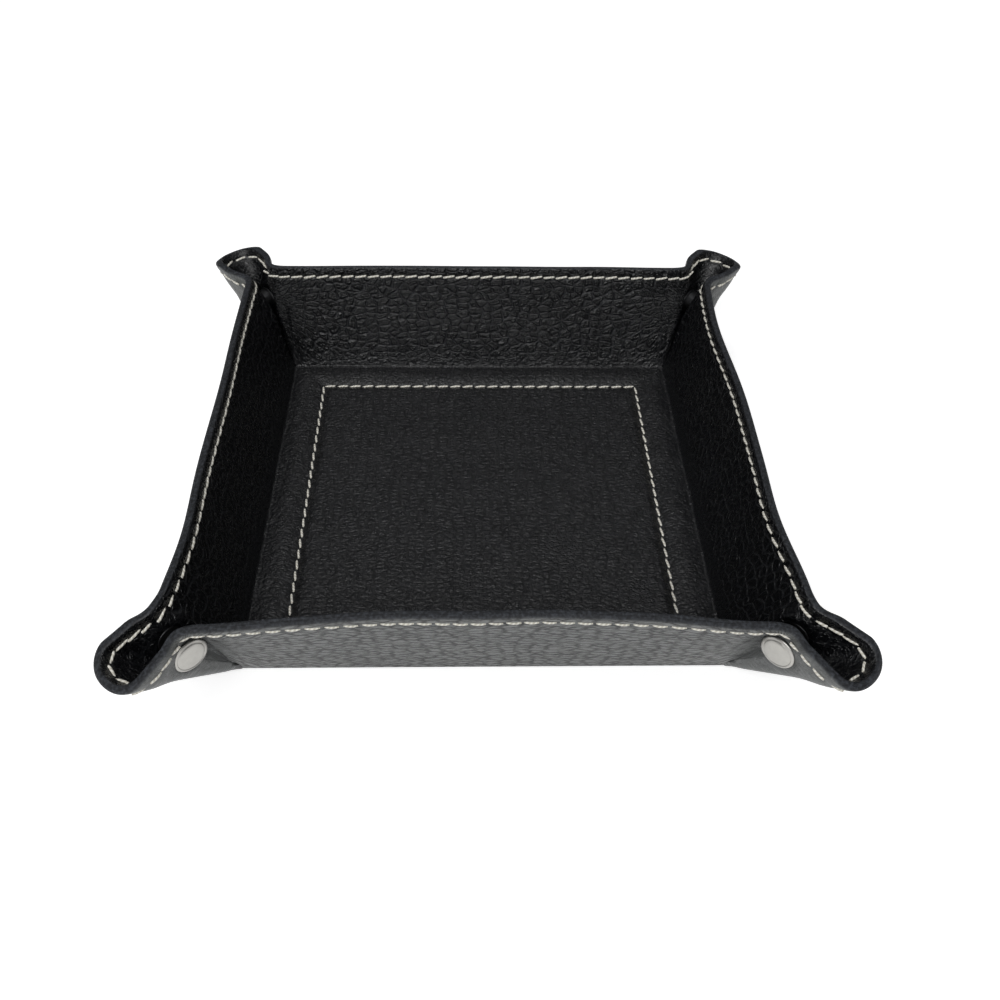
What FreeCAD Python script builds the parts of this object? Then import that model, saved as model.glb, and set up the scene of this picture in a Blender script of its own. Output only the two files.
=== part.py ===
import FreeCAD, Part
import Sketcher
import math
import os

# Leather valet tray: two leather squares sewn together over a base board, four walls folded up at
# the base creases, and each corner pinched outward into an ear that a press stud holds closed.
# Origin: centre of the underside. X runs along the front, Y to the back, Z up. Millimetres.
doc = FreeCAD.newDocument("valet_tray")
sheet = doc.addObject("Spreadsheet::Sheet", "Sizes")

DRIVING_SIZES = (
    ("base_side", 136.0),
    ("wall_slant", 37.0),
    ("lean_angle", 18.6),
    ("leather", 1.2),
    ("seam_from_crease", 11.5),
    ("board_from_seam", 2.5),
    ("board_thickness", 1.0),
    ("seam_inset", 3.6),
    ("stitch_pitch", 4.5),
    ("stitch_length", 3.1),
    ("thread_diameter", 0.7),
    ("thread_seat", 0.02),
    ("groove_width", 1.3),
    ("groove_depth", 0.74),
    ("sheet_corner_radius", 15.0),
    ("neck_half_gap", 3.0),
    ("tip_half_gap", 6.0),
    ("neck_cone_angle", 20.0),
    ("bend_core", 0.2),
    ("crease_clearance", 0.1),
    ("tip_clearance", 0.1),
    ("snap_below_rim", 15.0),
    ("snap_neck_clearance", 2.0),
    ("snap_seat_depth", 0.35),
    ("snap_seat_clearance", 0.25),
    ("snap_hole_radius", 1.7),
    ("cap_radius", 5.0),
    ("cap_height", 1.5),
    ("cap_skirt", 0.6),
    ("cap_crown_radius", 3.6),
    ("cap_barrel_radius", 1.45),
    ("socket_radius", 4.2),
    ("socket_mouth", 2.75),
    ("socket_floor", 0.6),
    ("socket_reach", 0.5),
    ("stud_flange_radius", 4.2),
    ("stud_flange", 0.6),
    ("stud_neck_radius", 1.7),
    ("stud_head_radius", 2.1),
    ("stud_head_length", 1.3),
    ("stud_reach", 1.2),
    ("post_radius", 4.4),
    ("post_height", 0.9),
    ("post_bore", 1.1),
    ("overrun", 5.0),
)

cells = 0


def put(alias, value):
    """One aliased cell of the sheet, written as a plain number."""
    global cells
    cells += 1
    sheet.set("A%d" % cells, alias)
    sheet.set("B%d" % cells, repr(float(value)))
    sheet.setAlias("B%d" % cells, alias)


for name, value in DRIVING_SIZES:
    put(name, value)
doc.recompute()


def size(alias):
    return float(sheet.get(alias))


V = FreeCAD.Vector
X_AXIS = V(1, 0, 0)
Y_AXIS = V(0, 1, 0)
Z_AXIS = V(0, 0, 1)

# Shape of one folded corner, seen from the base corner point on the inner face. Leather bends but
# does not stretch, so the flat angle from the crease to the diagonal, three eighths of a turn, is
# shared by the wall, the strand of the ear and the half tip that meets the diagonal square on.
lean = math.radians(size("lean_angle"))
slant = size("wall_slant")
half_base = size("base_side") / 2
sheet_thickness = 2 * size("leather")
rim_height = slant * math.cos(lean)
FLAT_DIAGONAL = math.radians(135)
along_ear = V(-1, -1, 0).normalize()
across_ear = V(1, -1, 0).normalize()


def unit(vector):
    copy = V(vector)
    return copy.normalize()


def turned(vector, axis, angle):
    return FreeCAD.Rotation(axis, math.degrees(angle)).multVec(vector)


def ear_direction(reach, gap):
    return unit(along_ear * reach + across_ear * gap + Z_AXIS)


neck_gap = size("neck_half_gap") / rim_height
tip_gap = size("tip_half_gap") / rim_height
neck_reach = math.sqrt(2) * math.tan(lean) - neck_gap
neck_line = ear_direction(neck_reach, neck_gap)
neck_flat = X_AXIS.getAngle(neck_line)


def flat_angle(reach):
    tip_line = ear_direction(reach, tip_gap)
    end_line = ear_direction(reach, 0)
    return neck_flat + neck_line.getAngle(tip_line) + tip_line.getAngle(end_line)


WIDEST_REACH_SHARE = 4
low = neck_reach
high = neck_reach + WIDEST_REACH_SHARE
for _ in range(60):
    middle = (low + high) / 2
    if flat_angle(middle) < FLAT_DIAGONAL:
        low = middle
    else:
        high = middle
ear_reach = low
tip_line = ear_direction(ear_reach, tip_gap)
end_line = ear_direction(ear_reach, 0)
tip_flat = neck_flat + neck_line.getAngle(tip_line)

wall_normal = V(0, -math.cos(lean), -math.sin(lean))
strand_normal = unit(tip_line.cross(neck_line))
if strand_normal.dot(across_ear) < 0:
    strand_normal = strand_normal * -1
end_normal = unit(end_line.cross(tip_line))
if end_normal.dot(along_ear) < 0:
    end_normal = end_normal * -1
neck_fold = wall_normal.getAngle(strand_normal)
tip_fold = strand_normal.getAngle(end_normal)


def bend_turn(fold, cone):
    """Turn about a cone's axis that turns its surface normal by the fold."""
    return 2 * math.asin(math.sin(fold / 2) / math.cos(cone))


def tangent_angle(fold, cone):
    """Angle from the sharp crease to where the bend starts."""
    return math.atan(math.sin(cone) * math.tan(bend_turn(fold, cone) / 2))


neck_cone = math.radians(size("neck_cone_angle"))
neck_tangent = tangent_angle(neck_fold, neck_cone)
tip_tangent = tip_line.getAngle(end_line)
low = 0.0
high = math.pi / 4
for _ in range(60):
    middle = (low + high) / 2
    if tangent_angle(tip_fold, middle) < tip_tangent:
        low = middle
    else:
        high = middle
tip_cone = low

wall_up = V(0, -math.sin(lean), math.cos(lean))
panel_flat = neck_flat - neck_tangent
neck_start = X_AXIS * math.cos(panel_flat) + wall_up * math.sin(panel_flat)
strand_side = unit(tip_line - neck_line * neck_line.dot(tip_line))
strand_end = tip_line.getAngle(neck_line) - tip_tangent


def on_strand(angle):
    return neck_line * math.cos(angle) + strand_side * math.sin(angle)


neck_axis = neck_start * math.cos(neck_cone) + wall_normal * math.sin(neck_cone)
tip_start = on_strand(strand_end)
tip_axis = tip_start * math.cos(tip_cone) - strand_normal * math.sin(tip_cone)
neck_turn = bend_turn(neck_fold, neck_cone)
tip_turn = bend_turn(tip_fold, tip_cone)
if turned(wall_normal, neck_axis, neck_turn).getAngle(strand_normal) > neck_turn / 2:
    neck_turn = -neck_turn
if turned(strand_normal, tip_axis, tip_turn).getAngle(end_normal) > tip_turn / 2:
    tip_turn = -tip_turn

corner_radius = size("sheet_corner_radius")
corner_centre = slant - corner_radius
corner_flat = math.atan2(slant, -corner_centre)


def rim(flat):
    """Distance from the base corner to the cut edge of the sheet, along a flat angle."""
    if flat <= corner_flat:
        return slant / math.sin(flat)
    along = corner_centre * (math.sin(flat) - math.cos(flat))
    return along + math.sqrt(corner_radius ** 2 - 2 * corner_centre ** 2 + along ** 2)


# The snap sits on the strand nearer the neck than the tip: its cap keeps clear of the neck line.
snap_from_neck = size("cap_radius") + size("snap_neck_clearance")
snap_angle = neck_tangent
for _ in range(60):
    snap_distance = rim(neck_flat + snap_angle) - size("snap_below_rim")
    snap_angle = math.asin(snap_from_neck / snap_distance)
snap_point = on_strand(snap_angle) * snap_distance
snap_gap = snap_point.dot(across_ear)
snap_centre = snap_point - across_ear * snap_gap

put("base_seam_side", size("base_side") - 2 * size("seam_from_crease"))
put("board_side", size("base_side") - 2 * size("seam_from_crease") - 2 * size("board_from_seam"))
put("sheet_thickness", sheet_thickness)
put("panel_run", -slant / math.tan(panel_flat))
put("snap_gap", snap_gap)
doc.recompute()
print("neck fold %.4f deg, tip fold %.4f deg" % (math.degrees(neck_fold), math.degrees(tip_fold)))
print("neck line", tuple(round(c, 6) for c in neck_line))
print("tip line", tuple(round(c, 6) for c in tip_line))
print("snap centre from base corner", tuple(round(c, 4) for c in snap_centre), "gap", snap_gap)
print("tip of the ear", tuple(round(c, 3) for c in end_line * rim(FLAT_DIAGONAL)))

made = {}


def keep(item, label):
    item.Label = label
    made[label] = item
    return item


def bind(item, **expressions):
    for prop, text in expressions.items():
        item.setExpression(prop, text)


def sketch_outline(body, plane_role, outlines):
    """A sketch of closed outlines on an origin plane, each corner held to the sheet's values."""
    plane = [p for p in body.Origin.OriginFeatures if p.Role == plane_role][0]
    sketch = body.newObject("Sketcher::SketchObject", "Outline")
    sketch.AttachmentSupport = [(plane, "")]
    sketch.MapMode = "FlatFace"
    for outline in outlines:
        first = sketch.GeometryCount
        corners = []
        for across, up in outline:
            corners.append(V(held(across), held(up), 0))
        count = len(corners)
        for i in range(count):
            sketch.addGeometry(Part.LineSegment(corners[i], corners[(i + 1) % count]), False)
        for i in range(count):
            following = first + (i + 1) % count
            sketch.addConstraint(Sketcher.Constraint("Coincident", first + i, 2, following, 1))
        for i, (across, up) in enumerate(outline):
            hold_point(sketch, first + i, "DistanceX", -2, across)
            hold_point(sketch, first + i, "DistanceY", -1, up)
    return sketch


def held(text):
    """Value of a length given as an expression over the sheet."""
    if text == "0":
        return 0.0
    probe.setExpression("Length", text)
    doc.recompute([probe])
    return probe.Length.Value


def hold_point(sketch, line, kind, axis, text):
    if text == "0":
        sketch.addConstraint(Sketcher.Constraint("PointOnObject", line, 1, axis))
        return
    index = sketch.addConstraint(Sketcher.Constraint(kind, -1, 1, line, 1, held(text)))
    sketch.setExpression("Constraints[%d]" % index, text)


probe = doc.addObject("Part::Box", "Probe")


def padded(label, outlines, length):
    """A body padded up from outlines on its own XY plane."""
    body = keep(doc.addObject("PartDesign::Body", "Body"), label)
    sketch = sketch_outline(body, "XY_Plane", outlines)
    doc.recompute()
    pad = body.newObject("PartDesign::Pad", "Pad")
    pad.Profile = sketch
    pad.setExpression("Length", length)
    sketch.Visibility = False
    doc.recompute()
    return body


def revolved(label, outline):
    """A body turned about its own Z from a half outline of radius and height."""
    body = keep(doc.addObject("PartDesign::Body", "Body"), label)
    sketch = sketch_outline(body, "XZ_Plane", [outline])
    doc.recompute()
    turn = body.newObject("PartDesign::Revolution", "Turn")
    turn.Profile = sketch
    turn.ReferenceAxis = (sketch, ["V_Axis"])
    turn.Angle = 360
    sketch.Visibility = False
    doc.recompute()
    return body


def square(side, centre):
    """Corners of a square about a centre that lies on the positive side of both axes."""
    low_edge = "%s - %s / 2" % (centre, side)
    high_edge = "%s + %s / 2" % (centre, side)
    return [(low_edge, low_edge), (high_edge, low_edge), (high_edge, high_edge), (low_edge, high_edge)]


def centre_body(body, height):
    """Bring a square that was drawn about the half side of the base to the tray's centre line."""
    bind(body, **{
        "Placement.Base.x": "-Sizes.base_side / 2",
        "Placement.Base.y": "-Sizes.base_side / 2",
        "Placement.Base.z": height,
    })


# Base: the outer leather square with a groove for the seam, the stiffener board, and the lining
# that rises over the board and lies on the outer leather round it.
HALF = "Sizes.base_side / 2"
SIDE = "Sizes.base_side"
FULL = [("0", "0"), (SIDE, "0"), (SIDE, SIDE), ("0", SIDE)]
outer_base = padded("base_outer_leather", [FULL], "Sizes.leather")
centre_body(outer_base, "0 mm")
groove_sketch = sketch_outline(outer_base, "XY_Plane", [
    square("(Sizes.base_seam_side + Sizes.groove_width)", HALF),
    square("(Sizes.base_seam_side - Sizes.groove_width)", HALF),
])
doc.recompute()
groove = outer_base.newObject("PartDesign::Pocket", "SeamGroove")
groove.Profile = groove_sketch
groove.setExpression("Length", "Sizes.groove_depth")
groove.Reversed = True
groove_sketch.Visibility = False
doc.recompute()

board = padded("base_board", [square("Sizes.board_side", HALF)], "Sizes.board_thickness")
centre_body(board, "Sizes.leather")

lining = padded("base_lining", [FULL], "Sizes.leather")
centre_body(lining, "Sizes.leather")
PLATEAU = square("(Sizes.board_side + 2 * Sizes.leather)", HALF)
plateau_sketch = sketch_outline(lining, "XY_Plane", [PLATEAU])
doc.recompute()
plateau = lining.newObject("PartDesign::Pad", "OverBoard")
plateau.Profile = plateau_sketch
plateau.setExpression("Length", "Sizes.leather + Sizes.board_thickness")
plateau_sketch.Visibility = False
doc.recompute()
room_sketch = sketch_outline(lining, "XY_Plane", [square("Sizes.board_side", HALF)])
doc.recompute()
room = lining.newObject("PartDesign::Pocket", "BoardRoom")
room.Profile = room_sketch
room.setExpression("Length", "Sizes.board_thickness")
room.Reversed = True
room_sketch.Visibility = False
doc.recompute()

# Walls and ears: each layer of leather is a flat panel or strand, and the conical bends run on from
# it. A bend is a loft through upright sections of the sheet, each in a plane through the bend's axis.
WALL_TURNS = {"front": 0, "right": 90, "back": 180, "left": 270}
LAYERS = (("lining", 0, 1), ("outer_leather", 1, 2))


def half_corner(side, corner):
    """Map from the front wall's left corner to a wall's corner, as a function of points."""
    names = corner.split("_")
    sign_x = -1 if names[1] == "left" else 1
    sign_y = -1 if names[0] == "front" else 1
    swapped = side in ("left", "right")

    def place(point, free=False):
        """World point, or world direction where free is set."""
        x = point.y if swapped else point.x
        y = point.x if swapped else point.y
        if free:
            return V(-sign_x * x, -sign_y * y, point.z)
        return V(sign_x * (half_base - x), sign_y * (half_base - y), sheet_thickness + point.z)

    return place


core = size("bend_core")


# The strand's root at the neck bend stays clear of the wall's root; towards the tip it can start lower.
ROOT_SHARES = {"neck": 1.0, "tip": 0.85}


def section(place, line, normal, flat, inner, outer, root):
    """Upright section of one leather layer: from near the base corner to the cut edge."""
    far = rim(flat)
    near_inner = (inner + core) / math.tan(neck_cone) * ROOT_SHARES[root]
    near_outer = (outer + core) / math.tan(neck_cone) * ROOT_SHARES[root]
    corners = [
        line * near_inner + normal * inner,
        line * far + normal * inner,
        line * far + normal * outer,
        line * near_outer + normal * outer,
    ]
    corners = [place(c) for c in corners]
    return Part.makePolygon(corners + corners[:1])


def solid_loft(wires, ruled):
    loft = Part.makeLoft(wires, True, ruled)
    if loft.Volume < 0:
        loft.reverse()
    return loft


def neck_half(place, inner, outer, first, last):
    """Part of the neck bend between two shares of its turn."""
    wires = []
    for step in range(4):
        share = first + (last - first) * step / 3
        line = turned(neck_start, neck_axis, neck_turn * share)
        normal = turned(wall_normal, neck_axis, neck_turn * share)
        flat = panel_flat + 2 * neck_tangent * share
        wires.append(section(place, line, normal, flat, inner, outer, "neck"))
    return solid_loft(wires, False)


def strand(place, inner, outer):
    wires = []
    for angle, root in ((neck_tangent, "neck"), (strand_end, "tip")):
        line = on_strand(angle)
        wires.append(section(place, line, strand_normal, neck_flat + angle, inner, outer, root))
    return solid_loft(wires, True)


def tip_half(place, inner, outer):
    """Half of the tip bend, from the strand to just short of the diagonal."""
    wires = []
    for step in range(6):
        share = step / 5
        line = turned(tip_start, tip_axis, tip_turn * share)
        normal = turned(strand_normal, tip_axis, tip_turn * share)
        flat = tip_flat - tip_tangent + 2 * tip_tangent * share
        wires.append(section(place, line, normal, flat, inner, outer, "tip"))
    return solid_loft(wires, False).cut(past_diagonal(place))


def past_diagonal(place):
    """Block over the diagonal plane of a corner, up to the clearance on this side of it."""
    face_at = across_ear * size("tip_clearance")
    out = along_ear * (slant + size("overrun")) * math.sqrt(2)
    up = Z_AXIS * (slant + size("overrun"))
    corners = [face_at - out, face_at + out, face_at + out + up, face_at - out + up]
    corners = [place(c) for c in corners]
    face = Part.Face(Part.makePolygon(corners + corners[:1]))
    return face.extrude(place(across_ear * -size("overrun"), True))


def disc(place, radius, start, end):
    """Cylinder on a snap's axis, between two distances from the diagonal."""
    base = place(snap_centre + across_ear * start)
    return Part.makeCylinder(radius, end - start, base, place(across_ear, True))


def snap_seats(place, flange_radius, face_radius):
    """Flat seats pressed into the leather round a snap, and the hole through it."""
    seat = size("snap_seat_depth")
    room_round = size("snap_seat_clearance")
    reach = size("overrun")
    face = snap_gap + sheet_thickness - seat
    inside = disc(place, flange_radius + room_round, snap_gap - reach, snap_gap + seat)
    outside = disc(place, face_radius + room_round, face, face + reach)
    hole = disc(place, size("snap_hole_radius"), snap_gap - reach, face + reach)
    return inside.fuse([outside, hole])


def leather_feature(label, shape):
    feature = keep(doc.addObject("Part::Feature", "Leather"), label)
    feature.Shape = shape
    return feature


def wall_placement(turn, offset):
    """From a panel's own plane, drawn from its left rim corner, to its wall."""
    shift = V(-half_base - size("panel_run"), 0, offset)
    tilt = FreeCAD.Rotation(X_AXIS, 90 + size("lean_angle"))
    stand = FreeCAD.Placement(V(0, -half_base, sheet_thickness), tilt)
    round_tray = FreeCAD.Placement(V(0, 0, 0), FreeCAD.Rotation(Z_AXIS, turn))
    return round_tray.multiply(stand).multiply(FreeCAD.Placement(shift, FreeCAD.Rotation()))


def crease_placement(turn):
    """A round's own Z along the crease, and its own X straight down from it."""
    down = V(0, 0, -1)
    out = V(0, -1, 0)
    bend_way = FreeCAD.Rotation(down, out, V(-1, 0, 0), "ZXY")
    along = FreeCAD.Placement(V(half_base, -half_base, sheet_thickness), bend_way)
    return FreeCAD.Placement(V(0, 0, 0), FreeCAD.Rotation(Z_AXIS, turn)).multiply(along)


PANEL = [
    ("Sizes.panel_run * (1 - Sizes.crease_clearance / Sizes.wall_slant)", "Sizes.crease_clearance"),
    ("Sizes.base_side + Sizes.panel_run * (1 + Sizes.crease_clearance / Sizes.wall_slant)",
     "Sizes.crease_clearance"),
    ("Sizes.base_side + 2 * Sizes.panel_run", "Sizes.wall_slant"),
    ("0", "Sizes.wall_slant"),
]
WALL_ENDS = {
    "front": ("left", "right"),
    "right": ("front", "back"),
    "back": ("left", "right"),
    "left": ("front", "back"),
}


def corner_name(side, end):
    return "%s_%s" % (side, end) if side in ("front", "back") else "%s_%s" % (end, side)


for side, turn in WALL_TURNS.items():
    for layer, first, last in LAYERS:
        inner = size("leather") * first
        outer = size("leather") * last
        panel = padded("%s_wall_%s_panel" % (side, layer), [PANEL], "Sizes.leather")
        panel.Placement = wall_placement(turn, inner)
        pieces = [panel]
        for end in WALL_ENDS[side]:
            place = half_corner(side, corner_name(side, end))
            bend = neck_half(place, inner, outer, 0, 0.5)
            pieces.append(leather_feature("%s_wall_%s_%s_bend" % (side, layer, end), bend))
        wall = keep(doc.addObject("Part::MultiFuse", "Wall"), "%s_wall_%s" % (side, layer))
        wall.Shapes = pieces
    doc.recompute()

# Creases: between the base's edge and the foot of each wall both layers bend round the hinge line.
for side, turn in WALL_TURNS.items():
    rounds = []
    for reach in ("Sizes.leather", "2 * Sizes.leather"):
        bend = doc.addObject("Part::Cylinder", "Bend")
        bind(bend, Radius=reach, Height="Sizes.base_side", Angle="90 - Sizes.lean_angle")
        bend.Placement = crease_placement(turn)
        rounds.append(bend)
    fold = doc.addObject("Part::Cut", "Fold")
    fold.Base = rounds[1]
    fold.Tool = rounds[0]
    inner_round = doc.addObject("Part::Cylinder", "Bend")
    bind(inner_round, Radius="Sizes.leather", Height="Sizes.base_side", Angle="90 - Sizes.lean_angle")
    inner_round.Placement = crease_placement(turn)
    crease = keep(doc.addObject("Part::Compound", "Crease"), "%s_crease" % side)
    crease.Links = [inner_round, fold]
doc.recompute()

# Ears: on each end of each wall the strand runs out from the neck bend to the tip bend. The front and
# back walls' ears carry the snap's cap and socket, the side walls' ears its stud and post.
for side in WALL_TURNS:
    carries_cap = side in ("front", "back")
    flange_radius = size("socket_radius" if carries_cap else "stud_flange_radius")
    face_radius = size("cap_radius" if carries_cap else "post_radius")
    for end in WALL_ENDS[side]:
        place = half_corner(side, corner_name(side, end))
        seats = snap_seats(place, flange_radius, face_radius)
        tips = []
        for layer, first, last in LAYERS:
            inner = size("leather") * first
            outer = size("leather") * last
            label = "%s_wall_%s_ear" % (side, end)
            ear = neck_half(place, inner, outer, 0.5, 1).fuse(strand(place, inner, outer)).cut(seats)
            leather_feature("%s_%s" % (label, layer), ear)
            tip = tip_half(place, inner, outer).cut(seats)
            tips.append(leather_feature("%s_tip_%s" % (label, layer), tip))
        both = keep(doc.addObject("Part::Compound", "Tip"), "%s_wall_%s_ear_tip" % (side, end))
        both.Links = tips
doc.recompute()

# Snaps: each is turned about its own Z, which lies on the snap's axis across the ear. Cap and post
# reach through the hole in the leather to the socket and the stud on the inside.
GRIP = "(Sizes.sheet_thickness - 2 * Sizes.snap_seat_depth)"
SEAT = "(Sizes.snap_gap + Sizes.snap_seat_depth)"
STUD_TOP = "(%s + Sizes.stud_reach)" % SEAT
SNAP_OUTLINES = {
    "cap": [
        ("0", "0"),
        ("Sizes.cap_barrel_radius", "0"),
        ("Sizes.cap_barrel_radius", GRIP),
        ("Sizes.cap_radius", GRIP),
        ("Sizes.cap_radius", GRIP + " + Sizes.cap_skirt"),
        ("Sizes.cap_crown_radius", GRIP + " + Sizes.cap_height"),
        ("0", GRIP + " + Sizes.cap_height"),
    ],
    "socket": [
        ("0", "0"),
        ("Sizes.socket_radius", "0"),
        ("Sizes.socket_radius", SEAT + " + Sizes.socket_reach"),
        ("Sizes.socket_mouth", SEAT + " + Sizes.socket_reach"),
        ("Sizes.socket_mouth", "Sizes.socket_floor"),
        ("0", "Sizes.socket_floor"),
    ],
    "stud": [
        ("0", "0"),
        ("Sizes.stud_flange_radius", "0"),
        ("Sizes.stud_flange_radius", "Sizes.stud_flange"),
        ("Sizes.stud_neck_radius", "Sizes.stud_flange"),
        ("Sizes.stud_neck_radius", STUD_TOP + " - Sizes.stud_head_length"),
        ("Sizes.stud_head_radius", STUD_TOP + " - Sizes.stud_head_length / 2"),
        ("Sizes.stud_neck_radius", STUD_TOP),
        ("0", STUD_TOP),
    ],
    "post": [
        ("Sizes.post_bore", "0"),
        ("Sizes.cap_barrel_radius", "0"),
        ("Sizes.cap_barrel_radius", GRIP),
        ("Sizes.post_radius", GRIP),
        ("Sizes.post_radius", GRIP + " + Sizes.post_height / 2"),
        ("Sizes.post_radius - Sizes.post_height / 2", GRIP + " + Sizes.post_height"),
        ("Sizes.post_bore", GRIP + " + Sizes.post_height"),
    ],
}
SNAP_SIDES = {"cap": ("across", 1), "socket": ("across", -1), "stud": ("beside", -1), "post": ("beside", 1)}

for corner in ("front_left", "front_right", "back_left", "back_right"):
    walls = {"across": corner.split("_")[0], "beside": corner.split("_")[1]}
    for kind, outline in SNAP_OUTLINES.items():
        wall_side, outward = SNAP_SIDES[kind]
        place = half_corner(walls[wall_side], corner)
        body = revolved("%s_snap_%s" % (corner, kind), outline)
        seat_plane = snap_centre + across_ear * (snap_gap + size("snap_seat_depth"))
        way = place(across_ear * outward, True)
        body.Placement = FreeCAD.Placement(place(seat_plane), FreeCAD.Rotation(Z_AXIS, way))

# Thread: the visible stitches of the two seams, round the base board and along each wall's rim, on
# both faces of the leather.
thread = size("thread_diameter") / 2
lift = thread + size("thread_seat")
stitch = size("stitch_length")


def stitch_row(start, way, length, height_way, heights):
    """Stitches along a straight seam, each in the middle of its share of the length."""
    count = max(1, int(round(length / size("stitch_pitch"))))
    row = []
    for i in range(count):
        middle = start + way * (length * (i + 0.5) / count)
        for height in heights:
            base = middle - way * (stitch / 2) + height_way * height
            row.append(Part.makeCylinder(thread, stitch, base, way))
    return row


seam = size("base_seam_side")
stitches = []
base_heights = (sheet_thickness + lift, size("groove_depth") - lift)
for turn in WALL_TURNS.values():
    spin = FreeCAD.Rotation(Z_AXIS, turn)
    start = spin.multVec(V(-seam / 2, -seam / 2, 0))
    stitches += stitch_row(start, spin.multVec(X_AXIS), seam, Z_AXIS, base_heights)
base_thread = keep(doc.addObject("Part::Feature", "Thread"), "base_stitching")
base_thread.Shape = Part.makeCompound(stitches)

for side, turn in WALL_TURNS.items():
    up = slant - size("seam_inset")
    start = V(size("panel_run") * (1 - up / slant), up, 0)
    length = size("base_side") + 2 * size("panel_run") * up / slant
    row = stitch_row(start, X_AXIS, length, Z_AXIS, (-lift, sheet_thickness + lift))
    wall_thread = keep(doc.addObject("Part::Feature", "Thread"), "%s_wall_stitching" % side)
    wall_thread.Shape = Part.makeCompound(row)
    wall_thread.Placement = wall_placement(turn, 0)
doc.recompute()

# Export: every piece that is not a step towards another one, after a check of its shape.
inside_others = ("_panel", "_bend", "_tip_lining", "_tip_outer_leather")
os.makedirs("parts", exist_ok=True)
for label, item in made.items():
    if "Invalid" in item.State or "Error" in item.State:
        raise RuntimeError("%s did not build: %s" % (label, item.State))
    if item.Shape.isNull() or not item.Shape.isValid() or not item.Shape.Solids:
        raise RuntimeError("%s has no valid shape" % label)
    if label.endswith(inside_others):
        continue
    volume = sum(solid.Volume for solid in item.Shape.Solids)
    print("%-36s solids %3d volume %9.2f" % (label, len(item.Shape.Solids), volume))
    item.Shape.exportStep(os.path.join("parts", label + ".step"))
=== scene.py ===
import math

import bmesh
import bpy
import numpy as np
from mathutils import Matrix, Vector


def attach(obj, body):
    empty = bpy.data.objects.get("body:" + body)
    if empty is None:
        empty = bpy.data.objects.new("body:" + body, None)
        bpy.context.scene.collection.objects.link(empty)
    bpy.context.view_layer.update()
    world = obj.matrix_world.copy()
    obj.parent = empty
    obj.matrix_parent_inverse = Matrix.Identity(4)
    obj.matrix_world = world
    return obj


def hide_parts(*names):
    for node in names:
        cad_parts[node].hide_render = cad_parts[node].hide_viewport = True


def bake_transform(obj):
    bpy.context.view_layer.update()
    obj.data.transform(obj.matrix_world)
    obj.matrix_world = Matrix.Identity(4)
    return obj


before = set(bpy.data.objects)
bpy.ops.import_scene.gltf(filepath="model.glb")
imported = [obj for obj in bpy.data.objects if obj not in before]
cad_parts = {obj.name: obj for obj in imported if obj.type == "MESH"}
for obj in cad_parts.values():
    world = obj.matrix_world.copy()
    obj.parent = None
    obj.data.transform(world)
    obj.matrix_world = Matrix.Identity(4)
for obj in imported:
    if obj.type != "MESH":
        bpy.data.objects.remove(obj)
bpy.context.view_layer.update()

# Outer leather of the base: the middle of one square of pebbled cowhide, the tray's underside.
# It is cut with the walls and ears in one piece, and the base seam runs round it in a groove.
mm = 0.001
base_half = 68 * mm
wall_slant = 37 * mm
sheet_half = base_half + wall_slant
sheet_corner = 15 * mm
leather = 1.2 * mm
sheet_thickness = 2 * leather
layer_slit = 0.03 * mm
seam_inset = 3.6 * mm
base_seam_half = 56.5 * mm
base_seam_inset = base_half - base_seam_half
stitch_pitch = 4.5 * mm
rim_hole_pitch = 4.464 * mm
base_hole_pitch = 4.52 * mm
lean = math.radians(18.6)
fold_angle = math.pi / 2 - lean
crease_radius = 1.3 * mm
crease_tangent = crease_radius * math.tan(fold_angle / 2)
diagonal = math.radians(135)
neck_line = np.array((-0.200159, -0.312505, 0.928589))
tip_line = np.array((-0.445107, -0.604881, 0.660302))
neck_cone = math.radians(20)


def unit(vector):
    return vector / np.linalg.norm(vector)


def between(first, second):
    return math.acos(float(np.dot(unit(first), unit(second))))


def turned(vector, axis, angle):
    """A direction turned about an axis by one angle or by an array of them."""
    angle = np.asarray(angle)[..., None]
    across = np.cross(axis, vector)
    along = axis * np.dot(axis, vector)
    return vector * np.cos(angle) + across * np.sin(angle) + along * (1 - np.cos(angle))


wall_normal = np.array((0, -math.cos(lean), -math.sin(lean)))
wall_up = np.array((0, -math.sin(lean), math.cos(lean)))
across_ear = np.array((1, -1, 0)) / math.sqrt(2)
end_line = unit(tip_line - across_ear * np.dot(tip_line, across_ear))
strand_normal = unit(np.cross(tip_line, neck_line))
strand_normal = strand_normal * np.sign(np.dot(strand_normal, across_ear))
end_normal = unit(np.cross(end_line, tip_line))
end_normal = end_normal * np.sign(-end_normal[0] - end_normal[1])
neck_fold = between(wall_normal, strand_normal)
tip_fold = between(strand_normal, end_normal)
neck_turn = 2 * math.asin(math.sin(neck_fold / 2) / math.cos(neck_cone))
neck_tangent = math.atan(math.sin(neck_cone) * math.tan(neck_turn / 2))
tip_tangent = between(tip_line, end_line)
tip_cone = math.asin(
    math.tan(tip_tangent) * math.cos(tip_fold / 2)
    / math.hypot(math.sin(tip_fold / 2), math.tan(tip_tangent))
)
tip_turn = 2 * math.asin(math.sin(tip_fold / 2) / math.cos(tip_cone))
neck_flat = math.acos(neck_line[0])
panel_flat = neck_flat - neck_tangent
strand_flat = neck_flat + neck_tangent
roll_flat = neck_flat + between(neck_line, tip_line) - tip_tangent
strand_side = unit(tip_line - neck_line * np.dot(neck_line, tip_line))
neck_start = np.array((1, 0, 0)) * math.cos(panel_flat) + wall_up * math.sin(panel_flat)
neck_axis = neck_start * math.cos(neck_cone) + wall_normal * math.sin(neck_cone)
roll_swing = roll_flat - neck_flat
roll_start = neck_line * math.cos(roll_swing) + strand_side * math.sin(roll_swing)
roll_axis = roll_start * math.cos(tip_cone) - strand_normal * math.sin(tip_cone)
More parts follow.
